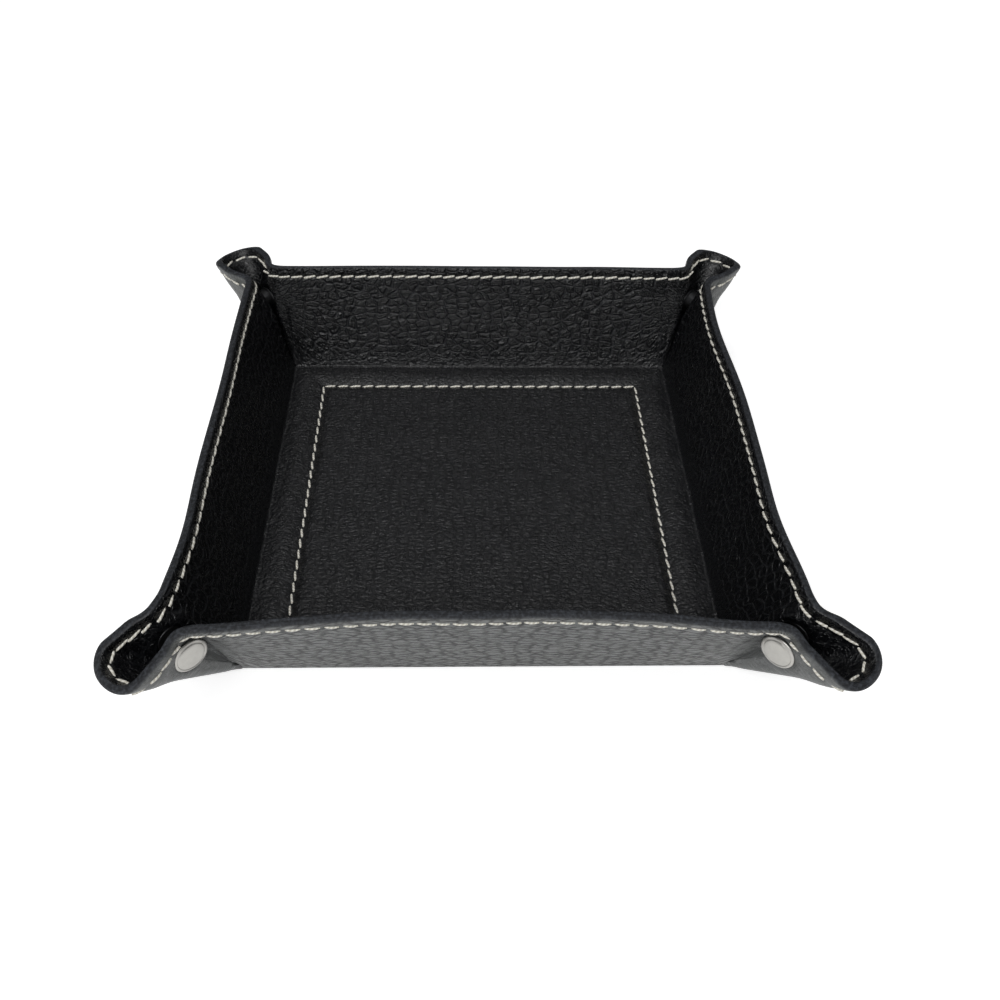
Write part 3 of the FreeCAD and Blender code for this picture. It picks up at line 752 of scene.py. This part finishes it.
def sewing(name, u, v, step_u, step_v, seed):
    """Stitches at flat places of the sheet, on both of its faces, as one plain mesh."""
    notes = {"way": [], "off": [], "run": []}
    places = []
    lift = 0.10 * mm
    reach = 0.4 * mm
    along, out = from_corner(u, v)
    in_ear = rising(np.arctan2(out, along), 1.70, 0.15) * (out > 0)
    for face_depth, outward, slant, run in (
        (lining_depth, -1, 0.15, 1 + 0.13 * in_ear), (outer_depth, 1, -0.09, 0.93 + 0 * in_ear),
    ):
        depth = face_depth(u, v) + outward * lift
        place = folded(u, v, depth)
        way = folded(u + step_u * reach, v + step_v * reach, depth)
        way = way - folded(u - step_u * reach, v - step_v * reach, depth)
        off = folded(u, v, depth + outward * reach) - place
        across = np.cross(off, way) / np.linalg.norm(off, axis=1)[:, None]
        way = way * math.cos(slant) + across * math.sin(slant)
        places.append(place)
        notes["way"].append(way / np.linalg.norm(way, axis=1)[:, None])
        notes["off"].append(off / np.linalg.norm(off, axis=1)[:, None])
        notes["run"].append(run)
    points = bpy.data.meshes.new(name + "_needle_places")
    points.from_pydata(np.concatenate(places).tolist(), [], [])
    for label, values in notes.items():
        note(points, label, np.concatenate(values))
    holder = placed(name + "_needle_places", points)
    sewer = holder.modifiers.new("Lockstitch", "NODES")
    sewer.node_group = stitching
    settings = {
        "Stitch length": stitch_length, "Thread thickness": thread_thick, "Sink": stitch_sink,
        "Unevenness": 0.05, "Seed": seed, "Thread": thread_finish,
    }
    for socket in stitching.interface.items_tree:
        if socket.in_out == "INPUT" and socket.name in settings:
            sewer[socket.identifier] = settings[socket.name]
    bpy.context.view_layer.update()
    sewn = holder.evaluated_get(bpy.context.evaluated_depsgraph_get())
    sewn_mesh = bpy.data.meshes.new_from_object(sewn)
    sewn_mesh.name = name
    holder.modifiers.clear()
    bpy.data.objects.remove(holder)
    sewn_mesh.polygons.foreach_set("use_smooth", [True] * len(sewn_mesh.polygons))
    return placed(name, sewn_mesh)


stitch_count = round(2 * base_seam_half / stitch_pitch)
row = (np.arange(stitch_count) + 0.5) / stitch_count * 2 * base_seam_half - base_seam_half
still = np.zeros(stitch_count)
fixed = np.full(stitch_count, base_seam_half)
base_thread = sewing(
    "base_seam_thread",
    np.concatenate((row, fixed, -row, -fixed)), np.concatenate((-fixed, row, fixed, -row)),
    np.concatenate((still + 1, still, still - 1, still)),
    np.concatenate((still, still + 1, still, still - 1)), 4,
)
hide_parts("base_stitching")
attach(base_thread, "base")

# Walls: the four sides of each leather square, folded up at the base's edges over round creases.
# They run on from the base and into the ears without a cut.
# So each piece here starts on the base and bends over its crease.
low_rows = [
    -6, -5.2, -4.4, -3.6, -2.8, -2.1, -1.5, -0.95, -0.7, -0.45, -0.22, 0, 0.22, 0.45, 0.7, 0.95,
]
rim_rows = [
    32.0, 32.4, 32.8, 33.1, 33.4, 33.7, 34.0, 34.4, 34.9, 35.4, 35.8, 36.1, 36.3, 36.5, 36.65,
    36.78, 36.88, 36.95, 37,
]
middle_rows = [1.4, 2.0, 2.7] + list(np.linspace(3.5, 31.4, 34))
wall_rows = np.array(low_rows + middle_rows + rim_rows) * mm
wall_turns = {"front": 0, "right": 90, "back": 180, "left": 270}
wall_ends = {
    "front": ("left", "right"), "right": ("front", "back"),
    "back": ("left", "right"), "left": ("front", "back"),
}
panel_run = -wall_slant / math.tan(panel_flat)
half_width = base_half + np.where(wall_rows < 0, wall_rows, panel_run * wall_rows / wall_slant)
wall_along = half_width[:, None] * (columns / columns[-1])[None, :]
wall_across = -base_half - np.repeat(wall_rows[:, None], len(columns), axis=1)
layers = (
    ("lining", "lining", "lining_leather", lining_depth, lining_back, lining_finish),
    ("outer", "outer_leather", "outer_leather", outer_depth, outer_back, outer_finish),
)


def around(along, across, side):
    """Flat places beside the front crease, carried round to another side."""
    swing = math.radians(wall_turns[side])
    c, s = round(math.cos(swing)), round(math.sin(swing))
    return along * c - across * s, along * s + across * c


for side in wall_turns:
    wall_u, wall_v = around(wall_along, wall_across, side)
    for layer, node, slot, face_depth, back_depth, finish in layers:
        name = side + "_wall_" + layer + "_hide"
        wall = leather_piece(name, wall_u, wall_v, face_depth, back_depth, True, finish)
        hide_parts(side + "_wall_" + node, side + "_crease")
        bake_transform(wall)

# Ears: at each end of a wall the leather turns out at the neck and runs on as a flat strand.
# The snap holds it to the strand of the next wall.
ear_rows = np.array([0.15, 0.5] + list(wall_rows[wall_rows > 0.9 * mm] / mm)) / rim_rows[-1]
corner_angle = math.atan2(wall_slant, sheet_corner - wall_slant)


def rim_reach(flat):
    """Distance from a base corner to the cut edge, along a flat angle."""
    middle = wall_slant - sheet_corner
    along = middle * (np.sin(flat) - np.cos(flat))
    curved = along + np.sqrt(np.maximum(sheet_corner ** 2 - 2 * middle ** 2 + along ** 2, 0))
    return np.where(flat <= corner_angle, wall_slant / np.sin(flat), curved)


def corner_signs(side, end):
    names = (side, end)
    return (-1 if "left" in names else 1), (-1 if "front" in names else 1)


def corner_grid(side, end, flats):
    """Flat places of a fan of lines from a base corner, from the root to the cut edge."""
    reach = ear_rows[:, None] * rim_reach(flats)[None, :]
    near = base_half - reach * np.cos(flats)
    far = base_half + reach * np.sin(flats)
    right, back = corner_signs(side, end)
    if side in ("left", "right"):
        return right * far, back * near
    return right * near, back * far


def corner_point(side, end, local):
    """Place on the tray of a point given from the front wall's left base corner."""
    right, back = corner_signs(side, end)
    x, y, z = local
    if side in ("left", "right"):
        x, y = y, x
    return right * (base_half - x), back * (base_half - y), sheet_thickness + z


neck_zone = {"front": (0.2 * mm, 4.4 * mm), "back": (-1.5 * mm, 3.0 * mm)}
neck_turning = (neck_line * 25 * mm, neck_flat, neck_zone)
strand_angles = np.linspace(strand_flat, roll_flat, 17)[1:]
strand_angles = np.concatenate((np.linspace(panel_flat, strand_flat, 22), strand_angles))
for side in wall_turns:
    for end in wall_ends[side]:
        ear_u, ear_v = corner_grid(side, end, strand_angles)
        body = side + "_wall_" + end + "_ear"
        for layer, node, slot, face_depth, back_depth, finish in layers:
            name = body + "_" + layer + "_hide"
            ear = leather_piece(name, ear_u, ear_v, face_depth, back_depth, True, finish)
            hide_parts(body + "_" + node)
            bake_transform(ear)

# Ear tips: the fold at the end of each ear, a narrow roll of both leathers that opens to the sky.
# The corner of the leather square runs over it, with its cut rounded.
tip_zone = {"front": (-3.5 * mm, 10.5 * mm), "back": (-3.0 * mm, 0.6 * mm)}
tip_turning = (tip_line * 30 * mm, roll_flat + tip_tangent, tip_zone)
tip_angles = np.linspace(roll_flat, diagonal, 19)
for side in wall_turns:
    for end in wall_ends[side]:
        tip_u, tip_v = corner_grid(side, end, tip_angles)
        ear_body = side + "_wall_" + end + "_ear"
        body = ear_body + "_tip"
        for layer, node, slot, face_depth, back_depth, finish in layers:
            name = body + "_" + layer + "_hide"
            tip = leather_piece(name, tip_u, tip_v, face_depth, back_depth, True, finish)
            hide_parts(body)
            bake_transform(tip)

# Rim seam: the same cream thread, through both leathers all along the cut edge and round the ears.
# It closes the two squares, and shows as slightly slanted stitches on both faces.
seam_corner = sheet_corner - seam_inset
straight = sheet_half - sheet_corner
side_length = 2 * straight + math.pi / 2 * seam_corner
rim_count = round(side_length / stitch_pitch)
rim_row = (np.arange(rim_count) + 0.5) / rim_count * side_length - side_length / 2
past = np.maximum(np.abs(rim_row) - straight, 0) / seam_corner
rim_along = np.minimum(np.abs(rim_row), straight) + seam_corner * np.sin(past)
rim_along = np.sign(rim_row) * rim_along
rim_across = -(straight + seam_corner * np.cos(past))
rim_step_along = np.cos(past)
rim_step_across = np.sign(rim_row) * np.sin(past)
rim_flat = np.arctan2(-rim_across - base_half, base_half - np.abs(rim_along))
past_tip = 9
seed = 20
for side in wall_turns:
    wall_body = side + "_wall"
    rim_steps = around(rim_step_along, rim_step_across, side)
    rim_seam = (*around(rim_along, rim_across, side), *rim_steps)
    on_wall = rim_flat <= panel_flat
    wall_thread = sewing(wall_body + "_rim_thread", *(way[on_wall] for way in rim_seam), seed)
    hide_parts(side + "_wall_stitching")
    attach(wall_thread, side + "_wall")
    for end in wall_ends[side]:
        seed += 1
        right, back = corner_signs(side, end)
        at_end = (rim_seam[1] * back if side in ("left", "right") else rim_seam[0] * right) > 0
        ear_body = wall_body + "_" + end + "_ear"
        for body, parent, first, last, fold in (
            (ear_body, wall_body, panel_flat, roll_flat, neck_turning),
            (ear_body + "_tip", ear_body, roll_flat, past_tip, tip_turning),
        ):
            here = at_end & (rim_flat > first) & (rim_flat <= last)
            thread = sewing(body + "_rim_thread", *(way[here] for way in rim_seam), seed)
            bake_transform(thread)
    seed += 1

# Snaps: four pressed press studs, one through each ear, nickel outside and gunmetal inside.
# Cap and socket are riveted through the front or back wall's strand.
# Stud and post are riveted through the side wall's.
def snap_metal(name, low_tone, high_tone, low_rough, high_rough):
    """Plated brass, rubbed unevenly and lightly scuffed."""
    plate, add, dress = start_finish(name)
    place = add("ShaderNodeTexCoord").outputs["Object"]
    rubbed = add("ShaderNodeTexNoise", {"Vector": place, "Scale": 700, "Detail": 5}).outputs["Fac"]
    satin = add(
        "ShaderNodeMapRange", {"To Min": low_rough, "To Max": high_rough, "Value": rubbed})
    tarnish = add(
        "ShaderNodeMix", {0: rubbed, 6: (*low_tone, 1), 7: (*high_tone, 1)}, data_type="RGBA")
    scuffs = add("ShaderNodeBump", {"Strength": 0.25, "Distance": 0.03 * mm, "Height": rubbed})
    dress({
        "Metallic": 1, "Base Color": tarnish.outputs[2], "Roughness": satin.outputs["Result"],
        "Normal": scuffs.outputs["Normal"],
    })
    return plate


nickel = snap_metal("Satin_nickel", (0.36, 0.35, 0.33), (0.50, 0.49, 0.46), 0.28, 0.44)
gunmetal = snap_metal("Gunmetal", (0.035, 0.036, 0.038), (0.06, 0.06, 0.062), 0.38, 0.55)
plating = {"cap": nickel, "post": nickel, "socket": gunmetal, "stud": gunmetal}


def arc(centre_r, centre_z, radius, first, last, count):
    """Points of a rounded edge in a turned outline, in millimetres; angles in degrees."""
    return [
        (centre_r + radius * math.cos(a), centre_z + radius * math.sin(a))
        for a in np.radians(np.linspace(first, last, count))
    ]


def pressed(name, outline, centre, way, metal):
    """A pressed metal piece: an outline of radius and height turned about its axis."""
    count = 40
    side = unit(np.cross(way, (0, 0, 1)))
    other = np.cross(way, side)
    points = []
    rings = []
    for radius, height in outline:
        level = centre + way * height * mm
        if radius < 1e-6:
            rings.append([len(points)])
            points.append(level)
            continue
        rings.append(list(range(len(points), len(points) + count)))
        for i in range(count):
            a = 2 * math.pi * i / count
            points.append(level + (side * math.cos(a) + other * math.sin(a)) * radius * mm)
    faces = []
    for low, high in zip(rings, rings[1:] + rings[:1]):
        for i in range(count):
            j = (i + 1) % count
            loop = (low[i % len(low)], low[j % len(low)], high[j % len(high)], high[i % len(high)])
            loop = list(dict.fromkeys(loop))
            if len(loop) > 2:
                faces.append(loop)
    mesh = bpy.data.meshes.new(name)
    mesh.from_pydata([tuple(p) for p in points], [], faces, shade_flat=False)
    form = bmesh.new()
    form.from_mesh(mesh)
    if form.calc_volume(signed=True) < 0:
        mesh.flip_normals()
    form.free()
    mesh.set_sharp_from_angle(angle=math.radians(38))
    mesh.materials.append(metal)
    return placed(name, mesh)


seat = 0.35
gap = snap_gap / mm
grip = sheet_thickness / mm - 2 * seat
outlines = {
    "cap": [(0, 0), (1.45, 0), (1.45, grip), (4.55, grip), (4.62, grip + 0.12)]
    + arc(4.62, grip + 0.50, 0.38, -70, 60, 7)
    + [(4.5, grip + 0.93), (4.25, grip + 1.06), (4.08, grip + 0.94), (3.9, grip + 1.10)]
    + [(3.0, grip + 1.32), (2.0, grip + 1.44), (1.0, grip + 1.50), (0, grip + 1.50)],
    "socket": [(0, 0), (3.9, 0)]
    + arc(3.9, 0.30, 0.30, -90, 80, 6)
    + [(3.75, 0.75), (3.7, gap + seat + 0.2)]
    + arc(3.4, gap + seat + 0.2, 0.30, 0, 180, 7)
    + [(2.75, gap + seat), (2.72, 0.9), (2.3, 0.6), (0, 0.6)],
    "stud": [(0, 0), (3.95, 0)]
    + arc(3.95, 0.25, 0.25, -90, 90, 6)
    + [(2.4, 0.62), (1.8, 0.8), (1.7, gap + seat - 0.1)]
    + arc(1.45, gap + seat + 0.55, 0.65, -50, 90, 9)
    + [(0.7, gap + seat + 1.18), (0, gap + seat + 1.1)],
    "post": [(1.1, 0), (1.45, 0), (1.45, grip), (4.2, grip)]
    + arc(4.12, grip + 0.28, 0.28, -70, 75, 6)
    + [(3.6, grip + 0.66), (2.4, grip + 0.84)]
    + arc(1.75, grip + 0.45, 0.45, 60, 180, 7)
    + [(1.1, grip + 0.3)],
}
outward = {"cap": 1, "socket": -1, "stud": -1, "post": 1}
on_axis = snap_place + across_ear * seat * mm
for back_name in ("front", "back"):
    for right_name in ("left", "right"):
        for kind, outline in outlines.items():
            side, end = back_name, right_name
            if kind in ("stud", "post"):
                side, end = right_name, back_name
            centre = np.array(corner_point(side, end, on_axis))
            ahead = np.array(corner_point(side, end, on_axis + across_ear * mm))
            way = unit(ahead - centre) * outward[kind]
            node = back_name + "_" + right_name + "_snap_" + kind
            metal = pressed(node + "_metal", outline, centre, way, plating[kind])
            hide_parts(node)
            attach(metal, side + "_wall_" + end + "_ear")

# Stage: a plain white table under a broad soft light from the front and above.
# The camera stands where the photograph was taken.
table_half = 4.0
table_level = -0.3 * mm
table_corners = ((-1, -1), (1, -1), (1, 1), (-1, 1))
table_points = [(x * table_half, y * table_half, table_level) for x, y in table_corners]
table_mesh = bpy.data.meshes.new("table_top")
table_mesh.from_pydata(table_points, [], [(0, 1, 2, 3)])
table_top = placed("table_top", table_mesh)
white, add, dress = start_finish("White_table")
ray = add("ShaderNodeLightPath").outputs
seen = ray["Is Camera Ray"]
for mirrored in ("Is Glossy Ray", "Is Transmission Ray"):
    seen = add("ShaderNodeMath", {0: seen, 1: ray[mirrored]}, operation="MAXIMUM").outputs[0]
paler = add("ShaderNodeMath", {0: seen, 1: 0.6}, operation="MULTIPLY").outputs[0]
dress({
    "Base Color": (0.80, 0.80, 0.80, 1), "Roughness": 0.9, "Specular IOR Level": 0.1,
    "Emission Color": (1, 1, 1, 1), "Emission Strength": paler,
})
table_mesh.materials.append(white)

sky = bpy.data.worlds.new("Studio")
bpy.context.scene.world = sky
sky.use_nodes = True
background = sky.node_tree.nodes["Background"]
fill(sky.node_tree, background, {"Color": (0.97, 0.98, 1.0, 1), "Strength": 0.14})


def softbox(name, place, width, power):
    """A square lamp that faces the tray."""
    lamp = bpy.data.lights.new(name, "AREA")
    lamp.shape = "SQUARE"
    lamp.size = width
    lamp.energy = power
    stand = placed(name, lamp)
    stand.location = place
    stand.rotation_mode = "QUATERNION"
    stand.rotation_quaternion = (-Vector(place)).to_track_quat("-Z", "Y")


softbox("front_softbox", (-0.35, -1.3, 1.15), 1.1, 20)
softbox("top_softbox", (-0.1, 0.25, 1.75), 0.9, 8)

photo_width = 1000
focal_pixels = 1077.5
camera = bpy.data.cameras.new("camera")
camera.sensor_width = 36
camera.lens = camera.sensor_width * focal_pixels / photo_width
camera.clip_start = 0.01
eye_place = Vector((-5.3, -255.8, 243.0)) * mm
yaw, pitch, roll = (math.radians(a) for a in (2.51, 43.61, 1.66))
forward = Vector((
    math.sin(yaw) * math.cos(pitch), math.cos(yaw) * math.cos(pitch), -math.sin(pitch),
))
level = Vector((math.cos(yaw), -math.sin(yaw), 0))
upward = level.cross(forward)
right_way = level * math.cos(roll) + upward * math.sin(roll)
up_way = upward * math.cos(roll) - level * math.sin(roll)
aim = Matrix((right_way, up_way, -forward)).transposed().to_4x4()
eye = placed("camera", camera)
eye.matrix_world = Matrix.Translation(eye_place) @ aim
bpy.context.scene.camera = eye
bpy.context.scene.view_settings.view_transform = "Standard"
